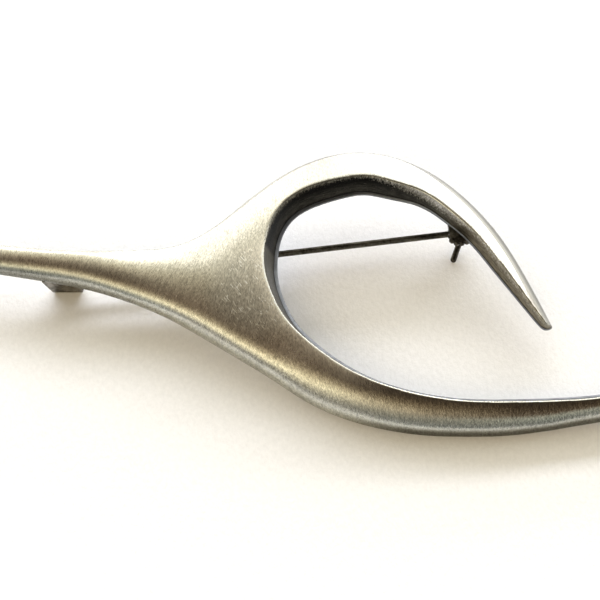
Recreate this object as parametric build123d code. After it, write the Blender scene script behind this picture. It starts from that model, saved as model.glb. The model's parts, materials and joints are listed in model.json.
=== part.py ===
from build123d import *
import math
import os

os.makedirs("parts", exist_ok=True)

# Sizes in mm. The form is drawn with its flat back in the plane Z = 0, its face up and its
# tail towards -X, and is then laid down on its catch, its rivet tail and its lower arm.

FORM_LENGTH = 94.0
FORM_WIDTH = 38.6
FORM_HEIGHT = 4.0

CROWN_ANGLE = 11.5
NEAR_SLANT_SHARE = 0.06
NEAR_PULL_SHARE = 0.49
WALL_LEAN_ANGLE = 18.0
LIP_WIDTH = 0.45
LIP_THICKNESS = 0.35

HINGE_ALONG_SHARE = 0.7106
HINGE_OFFSET = 1.51
HINGE_DEPTH = 2.1
HINGE_TILT_ANGLE = 30.0

EAR_THICKNESS = 0.5
EAR_RADIUS = 0.9
BASE_THICKNESS = 0.45
BASE_MARGIN = 0.5
SOLDER_DEPTH = 0.25

WIRE_DIAMETER = 0.78
RIVET_DIAMETER = 0.74
RIVET_RUNNING_CLEARANCE = 0.05
RIVET_SEAT_CLEARANCE = 0.02
RIVET_HEAD_DIAMETER = 1.3
RIVET_HEAD_THICKNESS = 0.3
RIVET_STRAIGHT = 0.35
RIVET_TAIL_OFFSET = 0.95
RIVET_TAIL_LENGTH = 3.05
RIVET_BEND_RADIUS = 0.6
EYE_WIDTH = 1.1
EYE_END_CLEARANCE = 0.1

STEM_OVERHANG = 2.1
STEM_OFFSET = 0.714
POINT_LENGTH = 7.0
POINT_DIAMETER = 0.2

CATCH_DISTANCE = 48.9
CATCH_DEPTH = 3.05
CATCH_THICKNESS = 0.42
CATCH_TOP_LENGTH = 5.4
CATCH_FOOT_LENGTH = 3.4
CATCH_CORNER = 0.45
CATCH_LIP = 0.03
CATCH_CLEARANCE = 0.06

# The form's cross-sections. Stations run along the length from the tail. The edges and crests
# are shares of the width, the heights are shares of the height, the bulge is how high the near
# side's steep foot reaches and the shoulder where the far side bends, both shares of that
# side's own height, and the slant is the far side's lean for each unit that it rises.
SECTION_COLUMNS = (
    "along", "near_edge", "near_crest", "far_crest", "far_edge",
    "near_height", "far_height", "near_bulge", "far_shoulder", "far_slant",
)
SECTIONS = [
    (0.0000, 0.6101, 0.6179, 0.6218, 0.6295, 0.188, 0.188, 0.60, 0.80, 0.25),
    (0.0043, 0.5959, 0.6110, 0.6225, 0.6412, 0.263, 0.263, 0.60, 0.80, 0.30),
    (0.0160, 0.5820, 0.6070, 0.6225, 0.6477, 0.312, 0.312, 0.60, 0.80, 0.32),
    (0.0585, 0.5640, 0.6011, 0.6205, 0.6503, 0.380, 0.380, 0.60, 0.76, 0.34),
    (0.1117, 0.5425, 0.5855, 0.6140, 0.6451, 0.440, 0.440, 0.62, 0.73, 0.36),
    (0.1755, 0.5153, 0.5660, 0.5971, 0.6295, 0.505, 0.505, 0.62, 0.72, 0.38),
    (0.2287, 0.4870, 0.5388, 0.5855, 0.6256, 0.540, 0.540, 0.64, 0.70, 0.42),
    (0.2819, 0.4440, 0.5000, 0.5622, 0.6295, 0.530, 0.540, 0.60, 0.66, 0.46),
    (0.3351, 0.3842, 0.4508, 0.5570, 0.6464, 0.600, 0.590, 0.63, 0.62, 0.52),
    (0.3830, 0.3135, 0.3951, 0.5674, 0.7111, 0.700, 0.700, 0.63, 0.60, 0.56),
    (0.4255, 0.2474, 0.3303, 0.6360, 0.8070, 0.700, 0.770, 0.61, 0.56, 0.60),
    (0.4681, 0.1788, 0.2669, 0.6969, 0.8977, 0.715, 0.850, 0.56, 0.55, 0.62),
    (0.5106, 0.1076, 0.2098, 0.7700, 0.9611, 0.800, 0.900, 0.47, 0.56, 0.64),
    (0.5585, 0.0531, 0.1490, 0.7927, 0.9974, 0.820, 0.875, 0.43, 0.58, 0.65),
    (0.6064, 0.0207, 0.1166, 0.8005, 0.9948, 0.810, 0.850, 0.42, 0.60, 0.65),
    (0.6543, 0.0039, 0.0972, 0.7487, 0.9547, 0.790, 0.812, 0.42, 0.62, 0.70),
    (0.6968, 0.0000, 0.0907, 0.6710, 0.8847, 0.770, 0.775, 0.42, 0.64, 0.84),
    (0.7394, 0.0013, 0.0868, 0.5648, 0.7720, 0.735, 0.725, 0.42, 0.66, 0.88),
    (0.7713, 0.0078, 0.0881, 0.4560, 0.6503, 0.690, 0.675, 0.42, 0.68, 0.88),
    (0.7947, 0.0155, 0.0919, 0.3575, 0.5259, 0.650, 0.613, 0.42, 0.70, 0.80),
    (0.8117, 0.0220, 0.0958, 0.2720, 0.4223, 0.635, 0.562, 0.42, 0.72, 0.68),
    (0.8287, 0.0298, 0.1010, 0.1969, 0.3187, 0.625, 0.550, 0.42, 0.72, 0.50),
    (0.8564, 0.0415, 0.1063, 0.1528, 0.2435, 0.610, 0.575, 0.42, 0.72, 0.50),
    (0.8989, 0.0622, 0.1192, 0.1503, 0.2228, 0.580, 0.550, 0.42, 0.72, 0.50),
    (0.9468, 0.0933, 0.1347, 0.1632, 0.2280, 0.490, 0.475, 0.45, 0.74, 0.45),
    (0.9798, 0.1231, 0.1540, 0.1710, 0.2228, 0.375, 0.362, 0.50, 0.76, 0.40),
    (0.9947, 0.1451, 0.1660, 0.1736, 0.2098, 0.275, 0.275, 0.55, 0.78, 0.35),
    (1.0000, 0.1593, 0.1700, 0.1749, 0.1943, 0.200, 0.200, 0.60, 0.80, 0.30),
]

# The back edge of the open loop, from beyond the lower arm's end, round the loop and past the
# upper arm's tip: shares of the length and of the width, and how much of the wall's lean it has.
LOOP_COLUMNS = ("along", "across", "lean")
LOOP = [
    (1.0585, 0.2280, 0.50),
    (1.0053, 0.2008, 0.50),
    (0.9574, 0.1723, 0.60),
    (0.9096, 0.1490, 0.80),
    (0.8617, 0.1321, 1.00),
    (0.8138, 0.1231, 1.00),
    (0.7606, 0.1192, 1.00),
    (0.7074, 0.1205, 1.00),
    (0.6638, 0.1334, 1.00),
    (0.6245, 0.1567, 1.00),
    (0.5851, 0.1943, 1.00),
    (0.5479, 0.2500, 1.00),
    (0.5176, 0.3122, 1.00),
    (0.4952, 0.3756, 1.00),
    (0.4803, 0.4508, 1.00),
    (0.4718, 0.5337, 1.00),
    (0.4718, 0.6062, 1.00),
    (0.4777, 0.6813, 1.00),
    (0.4926, 0.7435, 1.00),
    (0.5223, 0.7915, 0.95),
    (0.5585, 0.8225, 0.90),
    (0.5840, 0.8342, 0.85),
    (0.6181, 0.8187, 0.75),
    (0.6564, 0.7927, 0.60),
    (0.6936, 0.7267, 0.45),
    (0.7245, 0.6477, 0.40),
    (0.7468, 0.5674, 0.40),
    (0.7702, 0.4819, 0.35),
    (0.7915, 0.4041, 0.30),
    (0.8021, 0.3666, 0.30),
    (0.8096, 0.3497, 0.30),
    (0.8170, 0.3510, 0.30),
    (0.8245, 0.3731, 0.30),
    (0.8457, 0.4404, 0.30),
]


def named(columns, rows):
    return [dict(zip(columns, row)) for row in rows]


def turned(vector, other, share):
    return Vector(
        vector.X + (other.X - vector.X) * share,
        vector.Y + (other.Y - vector.Y) * share,
        vector.Z + (other.Z - vector.Z) * share,
    )


sections = named(SECTION_COLUMNS, SECTIONS)
loop_points = named(LOOP_COLUMNS, LOOP)


def edge_stretch(index, name):
    before = sections[max(index - 1, 0)]
    after = sections[min(index + 1, len(sections) - 1)]
    run = (after["along"] - before["along"]) * FORM_LENGTH
    rise = (after[name] - before[name]) * FORM_WIDTH
    return min(math.hypot(run, rise) / run, 2.6)


def section_wire(index):
    row = sections[index]
    x = row["along"] * FORM_LENGTH
    near = row["near_edge"] * FORM_WIDTH
    far = row["far_edge"] * FORM_WIDTH
    near_crest = row["near_crest"] * FORM_WIDTH
    far_crest = row["far_crest"] * FORM_WIDTH
    near_height = row["near_height"] * FORM_HEIGHT
    far_height = row["far_height"] * FORM_HEIGHT
    near_rise = near_height * row["near_bulge"]
    far_rise = far_height * row["far_shoulder"]
    far_lean = far_rise * row["far_slant"] * edge_stretch(index, "far_edge")
    far_shoulder = max(far - far_lean, turned(Vector(far), Vector(far_crest), 0.7).X)
    crown = math.tan(math.radians(CROWN_ANGLE))
    slope = (far_height - near_height) / (far_crest - near_crest)
    near_pull = (near_crest - near) * NEAR_PULL_SHARE
    far_pull = (far_shoulder - far_crest) * 0.5
    crown_rise = (far_crest - near_crest) / 2 * crown
    near_foot = Vector(x, near, 0)
    near_bulge = Vector(x, near + near_rise * NEAR_SLANT_SHARE, near_rise)
    near_handle = Vector(x, near_crest - near_pull, near_height - (slope + crown) * near_pull)
    near_top = Vector(x, near_crest, near_height)
    crown_handle = Vector(
        x, (near_crest + far_crest) / 2, (near_height + far_height) / 2 + crown_rise
    )
    far_top = Vector(x, far_crest, far_height)
    far_handle = Vector(x, far_crest + far_pull, far_height + (slope - crown) * far_pull)
    far_bend = Vector(x, far_shoulder, far_rise)
    far_foot = Vector(x, far, 0)
    return Wire([
        Edge.make_bezier(near_foot, near_bulge, near_handle, near_top),
        Edge.make_bezier(near_top, crown_handle, far_top),
        Edge.make_bezier(far_top, far_handle, far_bend),
        Edge.make_line(far_bend, far_foot),
        Edge.make_line(far_foot, near_foot),
    ])


def loop_wire(height, lip, lean_rise):
    """The loop's outline at one height, moved out into the metal by the lip and the lean."""
    points = []
    count = len(loop_points)
    for index, row in enumerate(loop_points):
        before = loop_points[max(index - 1, 0)]
        after = loop_points[min(index + 1, count - 1)]
        run = (after["along"] - before["along"]) * FORM_LENGTH
        rise = (after["across"] - before["across"]) * FORM_WIDTH
        size = math.hypot(run, rise)
        share = row["lean"]
        out = share * (lip + lean_rise * math.tan(math.radians(WALL_LEAN_ANGLE)))
        x = row["along"] * FORM_LENGTH - out * rise / size
        y = row["across"] * FORM_WIDTH + out * run / size
        points.append(Vector(x, y, height))
    beyond = FORM_LENGTH * 1.15
    first = points[0]
    last = points[-1]
    curve = Edge.make_spline(points)
    corner_far = Vector(beyond, last.Y, height)
    corner_near = Vector(beyond, first.Y, height)
    return Wire([
        curve,
        Edge.make_line(last, corner_far),
        Edge.make_line(corner_far, corner_near),
        Edge.make_line(corner_near, first),
    ])


blank = Solid.make_loft([section_wire(index) for index in range(len(sections))])
cut_top = FORM_HEIGHT * 1.4
opening = Solid.make_loft([loop_wire(-LIP_THICKNESS, 0, 0), loop_wire(LIP_THICKNESS * 1.5, 0, 0)], True)
wall_cut = Solid.make_loft(
    [
        loop_wire(LIP_THICKNESS, LIP_WIDTH, 0),
        loop_wire(cut_top, LIP_WIDTH, cut_top - LIP_THICKNESS),
    ],
    True,
)
form = blank - opening - wall_cut

wire_radius = WIRE_DIAMETER / 2
rivet_radius = RIVET_DIAMETER / 2
bore_radius = rivet_radius + RIVET_RUNNING_CLEARANCE
eye_radius = bore_radius + WIRE_DIAMETER
stem_offset = bore_radius + wire_radius


def middle_line(x):
    """The form's middle across, between its near and far edges, at a place along it."""
    for before, after in zip(sections, sections[1:]):
        if x <= after["along"] * FORM_LENGTH:
            break
    run = (after["along"] - before["along"]) * FORM_LENGTH
    share = (x - before["along"] * FORM_LENGTH) / run
    start = (before["near_edge"] + before["far_edge"]) / 2
    end = (after["near_edge"] + after["far_edge"]) / 2
    return (start + (end - start) * share) * FORM_WIDTH


def upper_arm_middle(x):
    """The upper arm's middle across, between the loop and the form's far edge."""
    along = x / FORM_LENGTH
    for before, after in zip(sections, sections[1:]):
        if along <= after["along"]:
            break
    share = (along - before["along"]) / (after["along"] - before["along"])
    far_edge = before["far_edge"] + (after["far_edge"] - before["far_edge"]) * share
    crossings = []
    for start, end in zip(loop_points, loop_points[1:]):
        if start["along"] <= along < end["along"]:
            share = (along - start["along"]) / (end["along"] - start["along"])
            crossings.append(start["across"] + (end["across"] - start["across"]) * share)
    return (max(crossings) + far_edge) / 2 * FORM_WIDTH


def stem_ways(skew):
    """Along and across the stem, for a stem turned by this angle from the form's length."""
    along = Vector(-math.cos(skew), -math.sin(skew), 0)
    across = Vector(-math.sin(skew), math.cos(skew), 0)
    return along, across


# The hinge's own frame: X along the stem, Z along the rivet towards its bent tail, Y the way
# in which the stem starts to open. The stem is turned until it passes the form's middle line
# at the catch by STEM_OFFSET.
tilt = math.radians(HINGE_TILT_ANGLE)
hinge_along = HINGE_ALONG_SHARE * FORM_LENGTH
hinge_across = upper_arm_middle(hinge_along) - HINGE_OFFSET
hinge_centre = Vector(hinge_along, hinge_across, -HINGE_DEPTH)
skew = 0.0
for step in range(12):
    stem_dir, across_dir = stem_ways(skew)
    rivet_dir = Vector(0, 0, -math.sin(tilt)) - across_dir * math.cos(tilt)
    hinge_plane = Plane(origin=hinge_centre, x_dir=stem_dir, z_dir=rivet_dir)
    stem_centre = hinge_plane.from_local_coords(Vector(CATCH_DISTANCE, -stem_offset, 0))
    gap_across = stem_centre.Y - middle_line(stem_centre.X) + STEM_OFFSET
    skew = skew + math.asin(gap_across / CATCH_DISTANCE)
back_plane = Plane(
    origin=Vector(hinge_centre.X, hinge_centre.Y, 0), x_dir=stem_dir, z_dir=Vector(0, 0, 1)
)
ear_inner = EYE_WIDTH / 2 + EYE_END_CLEARANCE
ear_outer = ear_inner + EAR_THICKNESS

# Bracket: two ears that lean with the rivet, on a base plate soldered to the back.
ear_reach = (HINGE_DEPTH + ear_outer * math.sin(tilt)) / math.cos(tilt)
ear_face = Circle(EAR_RADIUS) + Pos(0, -ear_reach / 2) * Rectangle(2 * EAR_RADIUS, ear_reach)
ears = Part() + [
    hinge_plane * Pos(0, 0, side) * extrude(ear_face, EAR_THICKNESS)
    for side in (ear_inner, -ear_outer)
]
base_near = ear_outer * math.cos(tilt) + HINGE_DEPTH * math.tan(tilt) + BASE_MARGIN / 2
base_far = ear_outer * math.cos(tilt)
base_length = 2 * (EAR_RADIUS + BASE_MARGIN)
base = back_plane * Pos(0, (base_near - base_far) / 2, 0) * Box(
    base_length,
    base_near + base_far,
    BASE_THICKNESS,
    align=(Align.CENTER, Align.CENTER, Align.MAX),
)
below = back_plane * Box(
    10 * base_length,
    10 * base_length,
    10 * HINGE_DEPTH,
    align=(Align.CENTER, Align.CENTER, Align.MAX),
)
ears = ears & (Pos(0, 0, -BASE_THICKNESS / 2) * below)
rivet_hole = hinge_plane * Cylinder(rivet_radius + RIVET_SEAT_CLEARANCE, 4 * ear_outer)
bracket = (ears + base) - rivet_hole

# Pin stem: an eye bent round the rivet, a straight wire and a tapered point.
eye = Cylinder(eye_radius, EYE_WIDTH)
eye = fillet(eye.edges().filter_by(GeomType.CIRCLE), WIRE_DIAMETER * 0.3)
stem_start = Pos(0, -stem_offset, 0) * Rot(0, 90, 0)
shank_length = CATCH_DISTANCE + STEM_OVERHANG - POINT_LENGTH
shank = stem_start * Cylinder(
    wire_radius, shank_length, align=(Align.CENTER, Align.CENTER, Align.MIN)
)
point = stem_start * Pos(0, 0, shank_length) * Cone(
    wire_radius,
    POINT_DIAMETER / 2,
    POINT_LENGTH,
    align=(Align.CENTER, Align.CENTER, Align.MIN),
)
pin_stem = hinge_plane * ((eye + shank + point) - Cylinder(bore_radius, 4 * ear_outer))

# Catch: a sheet hook along the form's length, its wall on the near side of the stem and its
# foot under it, clear of the stem as it swings out.
catch_plane = Plane(
    origin=Vector(stem_centre.X, stem_centre.Y, 0), x_dir=(0, 1, 0), z_dir=(1, 0, 0)
)
stem_drift = math.tan(skew) * (CATCH_TOP_LENGTH + CATCH_FOOT_LENGTH) / 4
wall_inner = -(wire_radius + CATCH_CLEARANCE + stem_drift)
wall_outer = wall_inner - CATCH_THICKNESS
lip_end = CATCH_LIP - math.tan(skew) * CATCH_FOOT_LENGTH / 2
corner_mid = CATCH_CORNER * (1 - math.sqrt(0.5))
catch_top = SOLDER_DEPTH
catch_outline = Wire([
    Edge.make_line((wall_outer, catch_top, 0), (wall_outer, CATCH_CORNER - CATCH_DEPTH, 0)),
    Edge.make_three_point_arc(
        (wall_outer, CATCH_CORNER - CATCH_DEPTH, 0),
        (wall_outer + corner_mid, corner_mid - CATCH_DEPTH, 0),
        (wall_outer + CATCH_CORNER, -CATCH_DEPTH, 0),
    ),
    Edge.make_line((wall_outer + CATCH_CORNER, -CATCH_DEPTH, 0), (lip_end, -CATCH_DEPTH, 0)),
    Edge.make_line((lip_end, -CATCH_DEPTH, 0), (lip_end, CATCH_THICKNESS - CATCH_DEPTH, 0)),
    Edge.make_line(
        (lip_end, CATCH_THICKNESS - CATCH_DEPTH, 0),
        (wall_inner, CATCH_THICKNESS - CATCH_DEPTH, 0),
    ),
    Edge.make_line(
        (wall_inner, CATCH_THICKNESS - CATCH_DEPTH, 0), (wall_inner, catch_top, 0)
    ),
    Edge.make_line((wall_inner, catch_top, 0), (wall_outer, catch_top, 0)),
])
catch_strip = catch_plane * extrude(Face(catch_outline), CATCH_TOP_LENGTH / 2, both=True)
side_plane = Plane(
    origin=Vector(stem_centre.X, stem_centre.Y, 0), x_dir=(1, 0, 0), z_dir=(0, -1, 0)
)
side_face = Polygon(
    (-CATCH_TOP_LENGTH / 2, catch_top),
    (-CATCH_TOP_LENGTH / 2, 0),
    (-CATCH_FOOT_LENGTH / 2, -CATCH_DEPTH),
    (CATCH_FOOT_LENGTH / 2, -CATCH_DEPTH),
    (CATCH_TOP_LENGTH / 2, 0),
    (CATCH_TOP_LENGTH / 2, catch_top),
    align=None,
)
catch = catch_strip & (side_plane * extrude(side_face, 4 * WIRE_DIAMETER, both=True))

brooch_body = form + bracket + catch

# The surface that the brooch lies on, in the form's frame: it meets the lower arm's near edge
# and the rounded foot of the catch.
foot_near = stem_centre.Y + wall_outer + CATCH_CORNER
rest_slope = CATCH_DEPTH / foot_near
for step in range(6):
    reach_down = CATCH_CORNER * math.sqrt(1 + rest_slope ** 2)
    rest_slope = (CATCH_DEPTH - CATCH_CORNER + reach_down) / foot_near
rest_angle = math.degrees(math.atan(rest_slope))

# Rivet: headed at its far end, its near end left long and bent down to the surface.
rivet_far = -(ear_outer + RIVET_SEAT_CLEARANCE)
bend = hinge_plane.from_local_coords(Vector(0, 0, ear_outer + RIVET_STRAIGHT))
tail_point = hinge_centre + stem_dir * RIVET_TAIL_OFFSET - across_dir * RIVET_TAIL_LENGTH
tail_rise = rivet_radius * math.sqrt(1 + rest_slope ** 2)
tail = Vector(tail_point.X, tail_point.Y, tail_rise - rest_slope * tail_point.Y)
rivet_path = FilletPolyline(
    hinge_plane.from_local_coords(Vector(0, 0, rivet_far)), bend, tail, radius=RIVET_BEND_RADIUS
)
rivet_section = Plane(
    origin=hinge_plane.from_local_coords(Vector(0, 0, rivet_far)), z_dir=rivet_dir
) * Circle(rivet_radius)
head_far = rivet_far - RIVET_HEAD_THICKNESS
head = Pos(0, 0, head_far) * Cylinder(
    RIVET_HEAD_DIAMETER / 2,
    RIVET_HEAD_THICKNESS,
    align=(Align.CENTER, Align.CENTER, Align.MIN),
)
head = fillet(head.edges().sort_by(Axis.Z)[0], RIVET_HEAD_THICKNESS * 0.6)
tail_ball = Pos(tail.X, tail.Y, tail.Z) * Sphere(rivet_radius)
hinge_rivet = sweep(rivet_section, path=rivet_path) + (hinge_plane * head) + tail_ball

# Lay the brooch down, with the origin at the bottom centre of its box.
pieces = {"brooch_body": brooch_body, "hinge_rivet": hinge_rivet, "pin_stem": pin_stem}
laid = {name: Rot(rest_angle, 0, 0) * piece for name, piece in pieces.items()}
boxes = [piece.bounding_box() for piece in laid.values()]
low = [min(getattr(box.min, axis) for box in boxes) for axis in "XYZ"]
high = [max(getattr(box.max, axis) for box in boxes) for axis in "XYZ"]
shift = Pos(-(low[0] + high[0]) / 2, -(low[1] + high[1]) / 2, -low[2])
placed = {name: shift * piece for name, piece in laid.items()}
to_rest = shift * Rot(rest_angle, 0, 0)
joint_frame = to_rest * hinge_plane.location
print("rest angle", round(rest_angle, 4))
print("hinge centre", joint_frame.position, "stem", joint_frame.x_axis, "rivet", joint_frame.z_axis)
print("box", [round(b - a, 3) for a, b in zip(low, high)])

for name, piece in placed.items():
    print(name, round(piece.volume, 3), piece.is_valid, len(piece.solids()))
    export_step(piece, "parts/" + name + ".step")
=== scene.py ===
import json
import math

import bmesh
import bpy
import numpy as np
from mathutils import Matrix, Vector
from mathutils.kdtree import KDTree


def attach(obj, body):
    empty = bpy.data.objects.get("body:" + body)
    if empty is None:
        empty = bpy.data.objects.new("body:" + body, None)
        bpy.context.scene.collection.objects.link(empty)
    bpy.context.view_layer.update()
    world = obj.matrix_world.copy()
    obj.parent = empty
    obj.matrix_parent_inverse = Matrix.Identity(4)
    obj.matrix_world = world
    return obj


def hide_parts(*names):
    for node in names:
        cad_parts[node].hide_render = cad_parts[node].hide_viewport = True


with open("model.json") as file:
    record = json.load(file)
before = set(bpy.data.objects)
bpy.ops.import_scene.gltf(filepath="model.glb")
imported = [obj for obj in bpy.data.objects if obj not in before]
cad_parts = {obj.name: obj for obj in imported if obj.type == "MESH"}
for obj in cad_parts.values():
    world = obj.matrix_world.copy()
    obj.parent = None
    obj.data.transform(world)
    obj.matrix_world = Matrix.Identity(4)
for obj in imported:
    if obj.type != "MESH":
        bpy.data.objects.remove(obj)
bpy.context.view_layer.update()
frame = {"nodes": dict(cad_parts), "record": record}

scene = bpy.context.scene
scene.view_settings.view_transform = "Standard"
scene.view_settings.look = "None"

# Sizes in mm in the form's own frame: its flat back is the plane z = 0 and its tail is at x = 0.
MM = 0.001
FORM_LENGTH = 94.0
FORM_WIDTH = 38.6
FORM_HEIGHT = 4.0

# The loop's wall leans outwards over a thin lip. The scale is near the cosine of the lean, so that
# the wall's value is a distance.
WALL_LEAN = math.tan(math.radians(18.0))
WALL_SCALE = 0.95
LIP_WIDTH = 0.45
LIP_THICKNESS = 0.35

# The line of a section. Where the far edge runs slantwise, its slant is stretched, up to a limit,
# and the shoulder stays within a share of the way from the far edge to the far crest.
NEAR_SLANT = 0.06
NEAR_PULL = 0.49
CROWN = math.tan(math.radians(11.5))
FAR_PULL = 0.5
SHOULDER_LIMIT = 0.7
STRETCH_LIMIT = 2.6
NEAR_POINTS = 60
CROWN_POINTS = 40
FAR_POINTS = 40
FOOT_POINTS = 8

# How the brooch rests: leant towards its near side, and moved to the middle of the row frame.
REST_ANGLE = math.radians(8.5043)
REST_SHIFT = (-47.0, -19.1058, -0.0004)

# Roundings of the form, and the span across it where the rim's grows to the upper arm's.
RIM_ROUND = 0.20
ARM_RIM_ROUND = 0.30
ARM_RIM_SPAN = (21.5, 26.0)
BACK_ROUND = 0.20
LIP_ROUND = 0.14

# The table of the form's top: the margin round the form, its step, the lines that it is read
# from, the steepest slope past an edge, and the least step along a line.
MARGIN = 0.7
FINE = 0.05
LINE_COUNT = 2400
STEEPEST = 12.0
LEAST_STEP = 1e-7

# The table of the loop: its step, where it starts along the form, the points on the loop's edge,
# and how near to the edge a distance is taken square to it.
LOOP_STEP = 0.12
LOOP_START = 36.0
LOOP_COUNT = 3000
NEAR_EDGE = 0.05

# The grid of cells that the form's mesh is made in.
CELL = 0.17
NET_MARGIN = 0.4
NET_LOW = -0.31
NET_HIGH = FORM_HEIGHT + 0.3

# Settling the mesh: the rounds, how many of them at the end only pull it onto the form, the least
# slope that is divided by, the longest pull in cells, and the share of an evening move.
SETTLE_ROUNDS = 8
LAST_ROUNDS = 2
LEAST_SLOPE = 0.3
MOST_MOVE = 0.5
EVEN_SHARE = 0.5

# Columns: along, near edge, near crest, far crest, far edge, near height, far height,
# near bulge, far shoulder, far slant.
SECTIONS = np.array([
    (0.0000, 0.6101, 0.6179, 0.6218, 0.6295, 0.188, 0.188, 0.60, 0.80, 0.25),
    (0.0043, 0.5959, 0.6110, 0.6225, 0.6412, 0.263, 0.263, 0.60, 0.80, 0.30),
    (0.0160, 0.5820, 0.6070, 0.6225, 0.6477, 0.312, 0.312, 0.60, 0.80, 0.32),
    (0.0585, 0.5640, 0.6011, 0.6205, 0.6503, 0.380, 0.380, 0.60, 0.76, 0.34),
    (0.1117, 0.5425, 0.5855, 0.6140, 0.6451, 0.440, 0.440, 0.62, 0.73, 0.36),
    (0.1755, 0.5153, 0.5660, 0.5971, 0.6295, 0.505, 0.505, 0.62, 0.72, 0.38),
    (0.2287, 0.4870, 0.5388, 0.5855, 0.6256, 0.540, 0.540, 0.64, 0.70, 0.42),
    (0.2819, 0.4440, 0.5000, 0.5622, 0.6295, 0.530, 0.540, 0.60, 0.66, 0.46),
    (0.3351, 0.3842, 0.4508, 0.5570, 0.6464, 0.600, 0.590, 0.63, 0.62, 0.52),
    (0.3830, 0.3135, 0.3951, 0.5674, 0.7111, 0.700, 0.700, 0.63, 0.60, 0.56),
    (0.4255, 0.2474, 0.3303, 0.6360, 0.8070, 0.700, 0.770, 0.61, 0.56, 0.60),
    (0.4681, 0.1788, 0.2669, 0.6969, 0.8977, 0.715, 0.850, 0.56, 0.55, 0.62),
    (0.5106, 0.1076, 0.2098, 0.7700, 0.9611, 0.800, 0.900, 0.47, 0.56, 0.64),
    (0.5585, 0.0531, 0.1490, 0.7927, 0.9974, 0.820, 0.875, 0.43, 0.58, 0.65),
    (0.6064, 0.0207, 0.1166, 0.8005, 0.9948, 0.810, 0.850, 0.42, 0.60, 0.65),
    (0.6543, 0.0039, 0.0972, 0.7487, 0.9547, 0.790, 0.812, 0.42, 0.62, 0.70),
    (0.6968, 0.0000, 0.0907, 0.6710, 0.8847, 0.770, 0.775, 0.42, 0.64, 0.84),
    (0.7394, 0.0013, 0.0868, 0.5648, 0.7720, 0.735, 0.725, 0.42, 0.66, 0.88),
    (0.7713, 0.0078, 0.0881, 0.4560, 0.6503, 0.690, 0.675, 0.42, 0.68, 0.88),
    (0.7947, 0.0155, 0.0919, 0.3575, 0.5259, 0.650, 0.613, 0.42, 0.70, 0.80),
    (0.8117, 0.0220, 0.0958, 0.2720, 0.4223, 0.635, 0.562, 0.42, 0.72, 0.68),
    (0.8287, 0.0298, 0.1010, 0.1969, 0.3187, 0.625, 0.550, 0.42, 0.72, 0.50),
    (0.8564, 0.0415, 0.1063, 0.1528, 0.2435, 0.610, 0.575, 0.42, 0.72, 0.50),
    (0.8989, 0.0622, 0.1192, 0.1503, 0.2228, 0.580, 0.550, 0.42, 0.72, 0.50),
    (0.9468, 0.0933, 0.1347, 0.1632, 0.2280, 0.490, 0.475, 0.45, 0.74, 0.45),
    (0.9798, 0.1231, 0.1540, 0.1710, 0.2228, 0.375, 0.362, 0.50, 0.76, 0.40),
    (0.9947, 0.1451, 0.1660, 0.1736, 0.2098, 0.275, 0.275, 0.55, 0.78, 0.35),
    (1.0000, 0.1593, 0.1700, 0.1749, 0.1943, 0.200, 0.200, 0.60, 0.80, 0.30),
])

# The open loop's back edge. Columns: along, across, share of the wall's lean.
LOOP = np.array([
    (1.0585, 0.2280, 0.50), (1.0053, 0.2008, 0.50), (0.9574, 0.1723, 0.60),
    (0.9096, 0.1490, 0.80), (0.8617, 0.1321, 1.00), (0.8138, 0.1231, 1.00),
    (0.7606, 0.1192, 1.00), (0.7074, 0.1205, 1.00), (0.6638, 0.1334, 1.00),
    (0.6245, 0.1567, 1.00), (0.5851, 0.1943, 1.00), (0.5479, 0.2500, 1.00),
    (0.5176, 0.3122, 1.00), (0.4952, 0.3756, 1.00), (0.4803, 0.4508, 1.00),
    (0.4718, 0.5337, 1.00), (0.4718, 0.6062, 1.00), (0.4777, 0.6813, 1.00),
    (0.4926, 0.7435, 1.00), (0.5223, 0.7915, 0.95), (0.5585, 0.8225, 0.90),
    (0.5840, 0.8342, 0.85), (0.6181, 0.8187, 0.75), (0.6564, 0.7927, 0.60),
    (0.6936, 0.7267, 0.45), (0.7245, 0.6477, 0.40), (0.7468, 0.5674, 0.40),
    (0.7702, 0.4819, 0.35), (0.7915, 0.4041, 0.30), (0.8021, 0.3666, 0.30),
    (0.8096, 0.3497, 0.30), (0.8170, 0.3510, 0.30), (0.8245, 0.3731, 0.30),
    (0.8457, 0.4404, 0.30),
])


def natural_spline(knots, values, at):
    """Natural cubic spline through rows of values at the knots, sampled at 'at'."""
    n = len(knots)
    gap = np.diff(knots)
    matrix = np.zeros((n, n))
    right = np.zeros_like(values)
    matrix[0, 0] = matrix[-1, -1] = 1.0
    for i in range(1, n - 1):
        matrix[i, i - 1] = gap[i - 1]
        matrix[i, i] = 2 * (gap[i - 1] + gap[i])
        matrix[i, i + 1] = gap[i]
        right[i] = 6 * ((values[i + 1] - values[i]) / gap[i] - (values[i] - values[i - 1]) / gap[i - 1])
    bend = np.linalg.solve(matrix, right)
    index = np.clip(np.searchsorted(knots, at, side="right") - 1, 0, n - 2)
    h = gap[index][:, None]
    b = (at - knots[index])[:, None] / h
    a = 1 - b
    return (
        a * values[index] + b * values[index + 1]
        + ((a ** 3 - a) * bend[index] + (b ** 3 - b) * bend[index + 1]) * h ** 2 / 6
    )


def loop_curve(count):
    """Points on the loop's back edge, the unit way into the metal there, and the lean share."""
    x = LOOP[:, 0] * FORM_LENGTH
    y = LOOP[:, 1] * FORM_WIDTH
    run = np.hypot(np.diff(x), np.diff(y))
    knots = np.concatenate([[0], np.cumsum(run)])
    points = natural_spline(
        knots, np.stack([x, y, LOOP[:, 2]], axis=1), np.linspace(0, knots[-1], count)
    )
    step = np.gradient(points[:, :2], axis=0)
    step /= np.hypot(step[:, 0], step[:, 1])[:, None]
    return points[:, :2], np.stack([-step[:, 1], step[:, 0]], axis=1), points[:, 2]


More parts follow.
